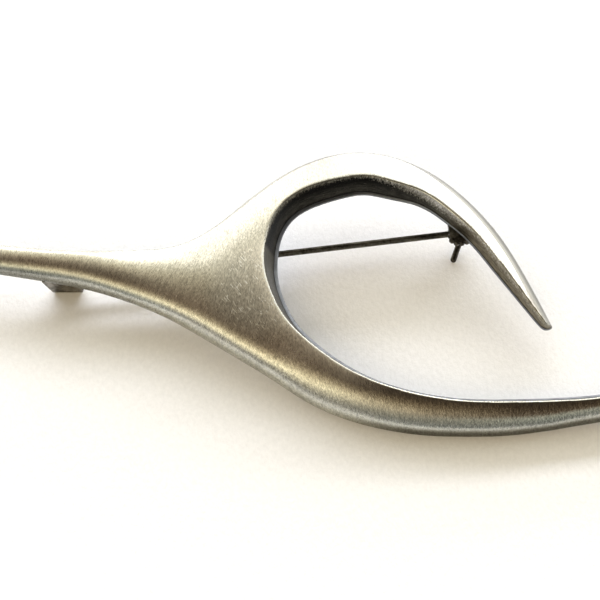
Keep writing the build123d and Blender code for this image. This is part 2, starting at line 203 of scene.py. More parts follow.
def bezier(points, count):
    """A Bezier curve of two to four points, without its last point."""
    t = np.linspace(0, 1, count, endpoint=False)[:, None]
    weights = {
        2: (1 - t, t),
        3: ((1 - t) ** 2, 2 * t * (1 - t), t ** 2),
        4: ((1 - t) ** 3, 3 * t * (1 - t) ** 2, 3 * t ** 2 * (1 - t), t ** 3),
    }[len(points)]
    return sum(w * np.array(p) for w, p in zip(weights, points))


def section_path(index):
    """One section's line from its near foot over the crests to its far foot, as (y, z)."""
    row = SECTIONS[index]
    before = SECTIONS[max(index - 1, 0)]
    after = SECTIONS[min(index + 1, len(SECTIONS) - 1)]
    span = (after[0] - before[0]) * FORM_LENGTH
    slanted = math.hypot(span, (after[4] - before[4]) * FORM_WIDTH)
    stretch = min(slanted / span, STRETCH_LIMIT)
    near, near_crest, far_crest, far = row[1:5] * FORM_WIDTH
    near_height, far_height = row[5:7] * FORM_HEIGHT
    near_rise = near_height * row[7]
    far_rise = far_height * row[8]
    far_shoulder = max(
        far - far_rise * row[9] * stretch, far + (far_crest - far) * SHOULDER_LIMIT
    )
    slope = (far_height - near_height) / (far_crest - near_crest)
    near_pull = (near_crest - near) * NEAR_PULL
    far_pull = (far_shoulder - far_crest) * FAR_PULL
    middle = (near_crest + far_crest) / 2
    return np.concatenate([
        bezier([
            (near, 0),
            (near + near_rise * NEAR_SLANT, near_rise),
            (near_crest - near_pull, near_height - (slope + CROWN) * near_pull),
            (near_crest, near_height),
        ], NEAR_POINTS),
        bezier([
            (near_crest, near_height),
            (middle, (near_height + far_height) / 2 + (far_crest - middle) * CROWN),
            (far_crest, far_height),
        ], CROWN_POINTS),
        bezier([
            (far_crest, far_height),
            (far_crest + far_pull, far_height + (slope - CROWN) * far_pull),
            (far_shoulder, far_rise),
        ], FAR_POINTS),
        bezier([(far_shoulder, far_rise), (far, 0)], FOOT_POINTS),
        [(far, 0)],
    ])


class Grid:
    """A table of values over the form's plan, read between its points."""

    def __init__(self, x0, y0, step, values):
        self.x0, self.y0, self.step, self.values = x0, y0, step, values

    def __call__(self, x, y):
        u = np.clip((x - self.x0) / self.step, 0, self.values.shape[0] - 1.001)
        v = np.clip((y - self.y0) / self.step, 0, self.values.shape[1] - 1.001)
        i, j = u.astype(int), v.astype(int)
        u, v = u - i, v - j
        a = self.values
        return (
            (a[i, j] * (1 - u) + a[i + 1, j] * u) * (1 - v)
            + (a[i, j + 1] * (1 - u) + a[i + 1, j + 1] * u) * v
        )


def top_grids():
    """Height of the form's top over its plan, and the brushed length along each section."""
    paths = np.array([section_path(i) for i in range(len(SECTIONS))])
    run = np.hypot(np.diff(SECTIONS[:, 0]) * FORM_LENGTH, np.diff(SECTIONS[:, 1]) * FORM_WIDTH)
    knots = np.concatenate([[0], np.cumsum(run)])
    flat = np.concatenate([SECTIONS[:, :1] * FORM_LENGTH, paths.reshape(len(paths), -1)], axis=1)
    dense = natural_spline(knots, flat, np.linspace(0, knots[-1], LINE_COUNT))
    xs = np.arange(-MARGIN, FORM_LENGTH + MARGIN, FINE)
    ys = np.arange(-MARGIN, FORM_WIDTH + MARGIN, FINE)
    index = np.clip(np.searchsorted(dense[:, 0], xs), 1, len(dense) - 1)
    share = np.clip((xs - dense[index - 1, 0]) / (dense[index, 0] - dense[index - 1, 0]), 0, 1)
    lines = dense[index - 1] + (dense[index] - dense[index - 1]) * share[:, None]
    height = np.empty((len(xs), len(ys)))
    along = np.empty_like(height)
    for i, line in enumerate(lines):
        y, z = line[1:].reshape(-1, 2).T
        y = np.maximum.accumulate(y + np.arange(len(y)) * LEAST_STEP)
        near_slope = min((z[2] - z[0]) / (y[2] - y[0]), STEEPEST)
        far_slope = max((z[-1] - z[-3]) / (y[-1] - y[-3]), -STEEPEST)
        row = np.interp(ys, y, z)
        row = np.where(ys < y[0], (ys - y[0]) * near_slope, row)
        height[i] = np.where(ys > y[-1], (ys - y[-1]) * far_slope, row)
        arc = np.cumsum(np.hypot(FINE, np.diff(height[i], prepend=height[i, 0])))
        crown_middle = (y[NEAR_POINTS] + y[NEAR_POINTS + CROWN_POINTS]) / 2
        along[i] = arc - np.interp(crown_middle, ys, arc)
    return Grid(xs[0], ys[0], FINE, height), Grid(xs[0], ys[0], FINE, along)


def loop_grids():
    """Distance into the metal from the loop's back edge, the lean share and the way round."""
    points, inward, lean = loop_curve(LOOP_COUNT)
    length = np.cumsum(np.hypot(*np.diff(points, axis=0, prepend=points[:1]).T))
    tree = KDTree(len(points))
    for i, point in enumerate(points):
        tree.insert((point[0], point[1], 0), i)
    tree.balance()
    xs = np.arange(LOOP_START, FORM_LENGTH + MARGIN, LOOP_STEP)
    ys = np.arange(-MARGIN, FORM_WIDTH + MARGIN, LOOP_STEP)
    depth = np.empty((len(xs), len(ys)))
    share = np.empty_like(depth)
    round_loop = np.empty_like(depth)
    for i, x in enumerate(xs):
        for j, y in enumerate(ys):
            k = tree.find((x, y, 0))[1]
            off = np.array([x, y]) - points[k]
            side = off @ inward[k]
            depth[i, j] = math.copysign(math.hypot(*off), side) if abs(side) > NEAR_EDGE else side
            share[i, j] = lean[k]
            round_loop[i, j] = length[k]
    return [Grid(xs[0], ys[0], LOOP_STEP, table) for table in (depth, share, round_loop)]


def smooth_max(a, b, width):
    """The larger of two values, with a rounded change from one to the other."""
    blend = np.maximum(width - np.abs(a - b), 0)
    return np.maximum(a, b) + blend * blend / (4 * width)


height_at, along_at = top_grids()
gradient = np.gradient(height_at.values, FINE)
steep_at = Grid(
    height_at.x0, height_at.y0, FINE, np.sqrt(1 + gradient[0] ** 2 + gradient[1] ** 2)
)
depth_at, share_at, round_at = loop_grids()


def surfaces(x, y, z, plan):
    """Signed distances to the top, the loop's wall and the loop's edge, outside above zero."""
    height, steep, depth, share = plan
    top = (z - height) / steep
    wall = (share * (LIP_WIDTH + (z - LIP_THICKNESS) * WALL_LEAN) - depth) * WALL_SCALE
    wall = -smooth_max(-(z - LIP_THICKNESS), -wall, LIP_ROUND)
    ends = np.abs(x - FORM_LENGTH / 2) - FORM_LENGTH / 2
    return smooth_max(top, ends, BACK_ROUND), wall, -depth


def plan_at(x, y):
    """What the tables give at a place in the form's plan."""
    return height_at(x, y), steep_at(x, y), depth_at(x, y), share_at(x, y)


def solid(x, y, z, plan):
    """Signed distance to the whole form, inside below zero."""
    top, wall, edge = surfaces(x, y, z, plan)
    value = smooth_max(top, wall, np.interp(y, ARM_RIM_SPAN, (RIM_ROUND, ARM_RIM_ROUND)))
    value = smooth_max(value, -z, BACK_ROUND)
    return smooth_max(value, edge, LIP_ROUND)


def solid_at(points):
    x, y, z = points.T
    return solid(x, y, z, plan_at(x, y))


def slope_at(points, step=0.015):
    """How fast the signed distance grows along each axis, at each point."""
    columns = []
    for axis in range(3):
        shift = np.zeros(3)
        shift[axis] = step
        columns.append(solid_at(points + shift) - solid_at(points - shift))
    return np.stack(columns, axis=1) / (2 * step)


def crossed_cells(value, inside):
    """The cells that the surface crosses, and in each the mean of where it crosses the edges."""
    corners = [(i, j, k) for i in (0, 1) for j in (0, 1) for k in (0, 1)]
    nx, ny, nz = value.shape
    count = sum(
        inside[i:nx - 1 + i, j:ny - 1 + j, k:nz - 1 + k].astype(np.int8) for i, j, k in corners
    )
    cells = np.argwhere((count > 0) & (count < 8))
    total = np.zeros((len(cells), 3))
    hits = np.zeros(len(cells))
    for a in corners:
        for axis in range(3):
            if a[axis]:
                continue
            b = tuple(1 if i == axis else a[i] for i in range(3))
            va = value[tuple((cells + a).T)]
            vb = value[tuple((cells + b).T)]
            cross = (va < 0) != (vb < 0)
            t = np.where(cross, va / np.where(cross, va - vb, 1), 0)
            place = np.array(a, dtype=float) + t[:, None] * (np.array(b) - np.array(a))
            total += np.where(cross[:, None], place, 0)
            hits += cross
    return cells, total / hits[:, None]


def crossed_quads(inside, number):
    """A quad round each grid edge that the surface crosses, from the numbers of the four cells."""
    quads = []
    for axis in range(3):
        u, v = (axis + 1) % 3, (axis + 2) % 3
        low = [slice(1, -1)] * 3
        low[axis] = slice(0, -1)
        high = list(low)
        high[axis] = slice(1, None)
        a, b = inside[tuple(low)], inside[tuple(high)]
        for change, flip in ((a & ~b, False), (~a & b, True)):
            at = np.argwhere(change) + [0 if i == axis else 1 for i in range(3)]
            ring = []
            for du, dv in ((1, 1), (0, 1), (0, 0), (1, 0)):
                c = at.copy()
                c[:, u] -= du
                c[:, v] -= dv
                ring.append(number[tuple(c.T)])
            quad = np.stack(ring, axis=1)
            quads.append(quad[:, ::-1] if flip else quad)
    return np.concatenate(quads)


def surface_net(cell):
    """Quads on the surface of the form, from a grid of cells."""
    xs = np.arange(-NET_MARGIN, FORM_LENGTH + NET_MARGIN + cell, cell)
    ys = np.arange(-NET_MARGIN, FORM_WIDTH + NET_MARGIN + cell, cell)
    zs = np.arange(NET_LOW, NET_HIGH + cell, cell)
    gx, gy = np.meshgrid(xs, ys, indexing="ij")
    plan = [value[:, :, None].astype(np.float32) for value in plan_at(gx, gy)]
    value = solid(xs[:, None, None], ys[None, :, None], zs[None, None, :], plan).astype(np.float32)
    inside = value < 0
    cells, places = crossed_cells(value, inside)
    number = np.full([size - 1 for size in value.shape], -1, dtype=np.int64)
    number[tuple(cells.T)] = np.arange(len(cells))
    verts = np.array([xs[0], ys[0], zs[0]]) + (cells + places) * cell
    return verts, crossed_quads(inside, number)


def settle(verts, quads, cell):
    """Move the vertices onto the surface, and spread them evenly along it."""
    pairs = np.concatenate([quads[:, [0, 1]], quads[:, [1, 2]], quads[:, [2, 3]], quads[:, [3, 0]]])
    pairs = np.concatenate([pairs, pairs[:, ::-1]])
    links = np.bincount(pairs[:, 0], minlength=len(verts))[:, None]
    for step in range(SETTLE_ROUNDS):
        way = slope_at(verts)
        size = np.maximum(np.linalg.norm(way, axis=1, keepdims=True), LEAST_SLOPE)
        move = -solid_at(verts)[:, None] * way / size ** 2
        reach = np.maximum(np.linalg.norm(move, axis=1, keepdims=True), 1e-9)
        verts = verts + move * np.minimum(1, MOST_MOVE * cell / reach)
        if step >= SETTLE_ROUNDS - LAST_ROUNDS:
            continue
        mean = np.stack([
            np.bincount(pairs[:, 0], weights=verts[pairs[:, 1], axis], minlength=len(verts))
            for axis in range(3)
        ], axis=1) / links
        pull = mean - verts
        normal = way / size
        pull -= normal * (pull * normal).sum(axis=1, keepdims=True)
        verts = verts + EVEN_SHARE * pull
    return verts


def to_row_frame(points):
    """Form frame in mm to the row frame in metres."""
    c, s = math.cos(REST_ANGLE), math.sin(REST_ANGLE)
    x = points[:, 0] + REST_SHIFT[0]
    y = points[:, 1] * c - points[:, 2] * s + REST_SHIFT[1]
    z = points[:, 1] * s + points[:, 2] * c + REST_SHIFT[2]
    return np.stack([x, y, z], axis=1) * MM


def to_form_frame(points):
    """Row frame in metres to the form frame in mm."""
    c, s = math.cos(REST_ANGLE), math.sin(REST_ANGLE)
    x, y, z = (np.asarray(points) / MM - REST_SHIFT).T
    return np.stack([x, y * c + z * s, z * c - y * s], axis=1)


def set_values(mesh, name, values):
    """A number at each vertex of the mesh, or three, for its material to read."""
    kind, field = ("FLOAT", "value") if values.ndim == 1 else ("FLOAT_VECTOR", "vector")
    attribute = mesh.attributes.new(name, kind, "POINT")
    attribute.data.foreach_set(field, np.ascontiguousarray(values, dtype=np.float32).ravel())


verts, quads = surface_net(CELL)
verts = settle(verts, quads, CELL)
form_mesh = bpy.data.meshes.new("form")
form_mesh.from_pydata(to_row_frame(verts).tolist(), [], quads.tolist())
form_mesh.update()
form_mesh.shade_smooth()
form = bpy.data.objects.new("form", form_mesh)
bpy.context.collection.objects.link(form)

# How far the brush strokes stand from square across the form, along its length, and how far a
# second, stray set of strokes stands from them.
STROKE_PLACES = (0, 14, 22, 28, 35, 42, 48, 55, 62, 70, 94)
STROKE_LEANS = (0.10, 0.12, 0.30, 0.42, 0.32, 0.14, -0.12, -0.16, -0.05, 0.0, 0.0)
STRAY_LEAN = 0.75
STRAY_TURN = 0.3

# Width of the patina's edge at the loop's rim. It grows from the lower arm's side to the upper
# arm's and along the form, and near the upper arm's tip it has a least width.
FADE_ACROSS = (22.0, 26.0)
FADE_WIDTHS = (0.07, 0.80)
FADE_ALONG = (55.0, 62.0)
FADE_GROWTH = (1.0, 1.7)
TIP_ALONG = (60.0, 64.0)
TIP_WIDTHS = (0.0, 1.2)
TIP_FROM = 11

# How far the patina reaches out over the rim, along the form.
REACH_PLACES = (47.0, 52.0, 56.0, 60.0, 64.0, 68.0)
REACHES = (-0.05, 0.20, 0.05, -0.35, -0.62, -0.15)

# The painted highlight line on the rim, partly rubbed wear, above a height.
RIM_HIGHLIGHT_SHIFT = 0.05
RIM_HIGHLIGHT_WIDTH = 0.22
RIM_HIGHLIGHT_FROM = 1.0

# The painted highlight band on the top beside the loop's rim, on the near side of the loop's left end.
HIGHLIGHT_BAND_REACH = 0.9
HIGHLIGHT_BAND_LIMIT = 9
HIGHLIGHT_BAND_ACROSS = (22.0, 25.0)
HIGHLIGHT_BAND_ALONG = (52.0, 57.0)

# The side that falls away from the camera, painted with shade: the slope where it starts, the slope
# that it takes to be whole, and its weight along the form.
FALL_START = 0.10
FALL_SPAN = 0.35
FALL_PLACES = (44, 50, 62, 66)
FALL_WEIGHTS = (0.0, 2.0, 2.0, 0.5)

# Width of the change from the form's sides to its back.
BACK_FADE = 0.10

x, y, z = verts.T
top, wall, edge = surfaces(x, y, z, plan_at(x, y))
inner = np.maximum(wall, edge)
set_values(form_mesh, "wall_place", np.stack([round_at(x, y), z, 0 * z], axis=1))
set_values(form_mesh, "spot", verts)
set_values(form_mesh, "back", np.clip(0.5 + (-z - np.maximum(top, inner)) / BACK_FADE, 0, 1))

lean = np.interp(x, STROKE_PLACES, STROKE_LEANS)
run = along_at(x, y)
set_values(form_mesh, "brush", np.stack([x - run * lean, run, z], axis=1))
set_values(form_mesh, "stray", np.stack([x + run * STRAY_LEAN, run - x * STRAY_TURN, z], axis=1))
way_x = 1 / np.hypot(1, lean)
way_y = -lean / np.hypot(1, lean)
across_brush = np.stack([
    way_x, way_y * math.cos(REST_ANGLE), way_y * math.sin(REST_ANGLE)
], axis=1)
set_values(form_mesh, "across_brush", across_brush)

fade = np.interp(y, FADE_ACROSS, FADE_WIDTHS) * np.interp(x, FADE_ALONG, FADE_GROWTH)
fade = np.maximum(fade, np.interp(x, TIP_ALONG, TIP_WIDTHS) * (y > TIP_FROM))
from_rim = (inner - top) / fade + np.interp(x, REACH_PLACES, REACHES)
set_values(form_mesh, "from_rim", np.clip(from_rim, -2, 2))
# A painted highlight line along the rim, partly rubbed wear.
brightening = np.clip(1 - np.abs(wall - top + RIM_HIGHLIGHT_SHIFT) / RIM_HIGHLIGHT_WIDTH, 0, 1) * (z > RIM_HIGHLIGHT_FROM)
set_values(form_mesh, "rim", brightening)
# A painted highlight band beside the rim.
highlight_band = np.exp(-np.clip(top - wall, 0, HIGHLIGHT_BAND_LIMIT) / HIGHLIGHT_BAND_REACH)
highlight_band *= np.interp(y, HIGHLIGHT_BAND_ACROSS, (1.0, 0.0))
highlight_band *= np.interp(x, HIGHLIGHT_BAND_ALONG, (1.0, 0.0))
set_values(form_mesh, "rim_highlight_band", highlight_band)
# Painted shade on the side that falls away from the camera.
fall = -Grid(height_at.x0, height_at.y0, FINE, gradient[1])(x, y)
far_side_shade = np.clip((fall - FALL_START) / FALL_SPAN, 0, 1)
set_values(form_mesh, "far_side_shade", far_side_shade * np.interp(x, FALL_PLACES, FALL_WEIGHTS))

# Brightness of the room at a ramp's full white.
ROOM_STRENGTH = 4.0


class Nodes:
    """A node tree, with short ways to add nodes and to join them."""

    def __init__(self, tree):
        self.tree = tree

    def add(self, kind, settings=None, **sockets):
        node = self.tree.nodes.new("ShaderNode" + kind)
        for key, value in (settings or {}).items():
            setattr(node, key, value)
        for key, value in sockets.items():
            self.join(value, node.inputs[key.replace("_", " ")])
        return node

    def join(self, value, socket):
        if isinstance(value, bpy.types.NodeSocket):
            self.tree.links.new(value, socket)
        else:
            socket.default_value = value

    def math(self, operation, a, b=0.0, clamp=False):
        node = self.add("Math", {"operation": operation, "use_clamp": clamp})
        self.join(a, node.inputs[0])
        self.join(b, node.inputs[1])
        return node.outputs[0]

    def total(self, first, *others):
        for other in others:
            first = self.math("ADD", first, other)
        return first

    def product(self, first, *others):
        for other in others:
            first = self.math("MULTIPLY", first, other)
        return first

    def weighted(self, base, *parts):
        """A base with parts added to it, each a value and its weight."""
        for value, weight in parts:
            base = self.total(base, self.product(value, weight))
        return base

    def one_less(self, value):
        return self.math("SUBTRACT", 1.0, value)

    def centred(self, noise):
        """Noise moved so that its middle is at zero."""
        return self.math("SUBTRACT", noise, 0.5)

    def mix(self, share, a, b):
        """A colour between two, each a socket or three numbers."""
        node = self.add("Mix", {"data_type": "RGBA"})
        self.join(share, node.inputs[0])
        self.join(a if isinstance(a, bpy.types.NodeSocket) else tuple(a) + (1,), node.inputs[6])
        self.join(b if isinstance(b, bpy.types.NodeSocket) else tuple(b) + (1,), node.inputs[7])
        return node.outputs[2]

    def ramp(self, share, tones):
        """A colour ramp of rows of degrees, red, green and blue, read at a share of half a turn."""
        node = self.add("ValToRGB")
        points = node.color_ramp.elements
        while len(points) < len(tones):
            points.new(0.5)
        for point, (degrees, *colour) in zip(points, tones):
            point.position = degrees / 180
            point.color = tuple(value / ROOM_STRENGTH for value in colour) + (1,)
        self.join(share, node.inputs[0])
        return node.outputs[0]


class Shader(Nodes):
    """A material's node tree."""

    def __init__(self, name):
        self.material = bpy.data.materials.new(name)
        self.material.use_nodes = True
        super().__init__(self.material.node_tree)
        self.main = self.tree.nodes["Principled BSDF"]

    def value(self, name):
        return self.add("Attribute", {"attribute_name": name}).outputs["Fac"]

    def vector(self, name):
        return self.add("Attribute", {"attribute_name": name}).outputs["Vector"]

    def noise(self, vector, scale, detail, roughness=0.5):
        """Noise with its own scale along each axis."""
        scaled = self.add("VectorMath", {"operation": "MULTIPLY"})
        self.join(vector, scaled.inputs[0])
        self.join(scale, scaled.inputs[1])
        return self.add(
            "TexNoise", Vector=scaled.outputs[0], Scale=1.0, Detail=detail, Roughness=roughness
        ).outputs["Fac"]

    def span(self, value, low, high, to_low=0.0, to_high=1.0):
        """A smooth change from one number to another, as the value goes from low to high."""
        node = self.add("MapRange", {"interpolation_type": "SMOOTHSTEP"})
        for key, number in (
            ("Value", value), ("From Min", low), ("From Max", high),
            ("To Min", to_low), ("To Max", to_high),
        ):
            self.join(number, node.inputs[key])
        return node.outputs["Result"]

    def tone(self, colour, brightness):
        node = self.add("VectorMath", {"operation": "SCALE"})
        self.join(colour, node.inputs[0])
        self.join(brightness, node.inputs["Scale"])
        return node.outputs[0]

    def blend(self, share, a, b):
        node = self.add("Mix", {"data_type": "FLOAT"})
        self.join(share, node.inputs[0])
        self.join(a, node.inputs[2])
        self.join(b, node.inputs[3])
        return node.outputs[0]

    def bump(self, height, distance):
        return self.add("Bump", Height=height, Distance=distance, Strength=1.0).outputs["Normal"]

    def finish(self, **sockets):
        for key, value in sockets.items():
            self.join(value, self.main.inputs[key.replace("_", " ")])
        return self.material


# Noises of the pewter: repeats in a mm along each axis, detail and, where it isn't 0.5, roughness.
FINE_STROKES = ((8.0, 2.4, 3.0), 3.0, 0.75)
MIDDLE_STROKES = ((2.8, 0.45, 0.6), 2.0, 0.6)
STRAY_STROKES = ((7.5, 0.9, 1.5), 2.0, 0.7)
BROAD_STROKES = ((0.7, 0.25, 0.3), 2.0)
SCRATCHES = ((5.5, 0.42, 0.5), 1.0)
CLOUDS = ((0.16, 0.16, 0.16), 3.0)
GRAIN = ((7.0, 7.0, 7.0), 3.0, 0.7)
WALL_STREAKS = ((0.8, 6.0, 1.0), 3.0, 0.65)
PITS = ((5.0, 5.0, 5.0), 2.0, 0.6)

# Colours of the bare metal and of its painted light, tints of the patina, and the brown at its edge.
WARM_METAL = (0.585, 0.535, 0.455)
PALE_METAL = (0.57, 0.545, 0.48)
# Lighter and more neutral, as painted light on the upper arm that faces the window.
ARM_PAINTED_LIGHT_METAL = (0.57, 0.57, 0.56)
# A cooler tint, as a painted reflection on the low sides.
LOW_REFLECTION_METAL = (0.535, 0.535, 0.485)
# Near white for the painted highlight along the rim, partly rubbed wear.
RIM_HIGHLIGHT_METAL = (0.92, 0.93, 0.92)
WALL_TINT = (1.0, 0.95, 0.80)
ENDS_TINT = (1.0, 0.88, 0.66)
# A pale bluish tint, as painted reflected light on the lip.
LIP_REFLECTION_TINT = (0.93, 0.97, 1.08)
EDGE_BROWN = (0.24, 0.215, 0.14)

# The scuffed oval on the body: its middle and radii, along the form and across the body, and the
# squared radii between which it fades in.
SCUFF_MIDDLE = (43.5, -0.8)
SCUFF_RADII = (8.0, 6.5)
SCUFF_EDGE = (1.3, 0.2)

# Spans of noise that become scratches, crossing scratches, pits and the patina's ragged edge.
SCRATCH_SPAN = (0.68, 0.78)
CROSSING_SPAN = (0.62, 0.70)
PIT_SPAN = (0.63, 0.72)
PATINA_SPAN = (-0.55, 0.65)
PATINA_RAGGED = 3.2

# Painted light and shade on the pewter: spans in mm along the form, across it or across the body,
# and up from the back, with the share of the change in each. The upper arm is painted lighter where
# it faces the window, the near sides low down are painted with shade, the tail's reflection bands are
# painted lighter and darker, the low sides take a painted reflection tint, and the side that falls
# away from the camera is painted darker. The back is darker.
ARM_ALONG = (44.0, 54.0)
ARM_ACROSS = (15.0, 20.0)
ARM_SHARE = 0.6
ARM_PAINTED_LIGHT = 1.45
# Painted shade low down on the near sides, by the paper, on the lower arm and on the tail.
FOOT_UP = (1.5, 0.6)
FOOT_ALONG = (50.0, 60.0)
FOOT_SHADE_SHARE = 0.68
TAIL_FOOT_UP = (1.5, 0.5)
TAIL_FOOT_ALONG = (34.0, 22.0)
TAIL_FOOT_SHADE_SHARE = 0.4
# The tail's reflection bands are painted: a band painted lighter, and its near side painted darker.
TAIL_LIGHT_ACROSS = (-1.3, 0.2)
TAIL_LIGHT_ALONG = (33.0, 26.0)
TAIL_HIGHLIGHT_SHARE = 0.42
TAIL_DARK_ACROSS = (-1.5, -2.2)
TAIL_DARK_ALONG = (24.0, 12.0)
TAIL_SHADE_SHARE = 0.24
# The painted reflection tint on the low sides reaches up to this height.
LOW_REFLECTION_UP = (1.9, 1.2)
FAR_SIDE_SHADE_SHARE = 0.35
BACK_BRIGHTNESS = 0.86

# Roughness that is added along the form, from the body to the arms and from the body to the tail.
ARMS_ALONG = (50.0, 58.0)
ARMS_ROUGHNESS = (0.165, 0.10)
TAIL_ALONG = (34.0, 26.0)
TAIL_ROUGHNESS = (0.0, 0.05)

# Places in the patina, in mm as above: the lip and the wall's foot, both painted with reflected light;
# the crease over the lip, painted with shade; the wall on the near side of the loop's left end,
# painted with reflected light; and the arms' ends.
LIP_UP = (0.46, 0.38)
CREASE_SHADE_TOP = (0.52, 0.44)
CREASE_SHADE_BOTTOM = (0.34, 0.40)
WALL_FOOT_REFLECTION_UP = (2.4, 0.7)
LIT_WALL_ACROSS = (23.6, 22.9)
LIT_WALL_ALONG = (52.0, 46.0)
ENDS_ALONG = (62.0, 70.0)
ENDS_BRIGHTNESS = 0.22
ENDS_TINT_ALONG = (60.0, 68.0)

# Depth of each material's relief, in metres.
PEWTER_BUMP = 0.000018
STEEL_BUMP = 0.000012
PAPER_BUMP = 0.00006


def squared_off(m, value, middle, radius):
    """The square of how far a value is from a middle, in radii."""
    return m.math("POWER", m.math("DIVIDE", m.math("SUBTRACT", value, middle), radius), 2)


def patch(m, first, first_span, second, second_span, share=1.0):
    """How far a place lies in both of two spans, up to a share."""
    return m.product(m.span(first, *first_span), m.span(second, *second_span, 0.0, share))


def patina_colour(m, spot, place, grain, streaks):
    """The loop's wall: near black, lighter at the arms' ends, with painted reflected light at its foot
    and on its pale lip, and painted shade in the crease.
    """
    along, across, up = place["X"], place["Y"], place["Z"]
    pits = m.span(m.noise(spot, *PITS), *PIT_SPAN)
    lip = m.span(up, *LIP_UP)
    crease_shade = patch(m, up, CREASE_SHADE_TOP, up, CREASE_SHADE_BOTTOM)
    lit_wall = patch(m, across, LIT_WALL_ACROSS, along, LIT_WALL_ALONG)
    # Painted reflected light at the wall's foot.
    bright = m.weighted(0.006, (m.span(up, *WALL_FOOT_REFLECTION_UP), 0.06))
    bright = m.total(bright, m.span(along, *ENDS_ALONG, 0.0, ENDS_BRIGHTNESS))
    bright = m.product(bright, m.math("ADD", m.product(streaks, 3.0), -0.8, clamp=True))
    bright = m.product(bright, m.weighted(0.2, (grain, 1.6)))
    bright = m.weighted(bright, (pits, 0.07))
    # Painted reflected light on the wall on the near side of the loop's left end.
    bright = m.blend(lit_wall, bright, m.weighted(0.05, (grain, 0.14)))
    # The lip is painted with reflected light.
    bright = m.blend(lip, bright, m.weighted(0.12, (streaks, 0.34)))
    # Painted shade in the crease over the lip.
    bright = m.product(bright, m.one_less(m.product(crease_shade, 0.8)))
    tint = m.mix(m.span(along, *ENDS_TINT_ALONG), WALL_TINT, ENDS_TINT)
    return m.tone(m.mix(lip, tint, LIP_REFLECTION_TINT), bright)


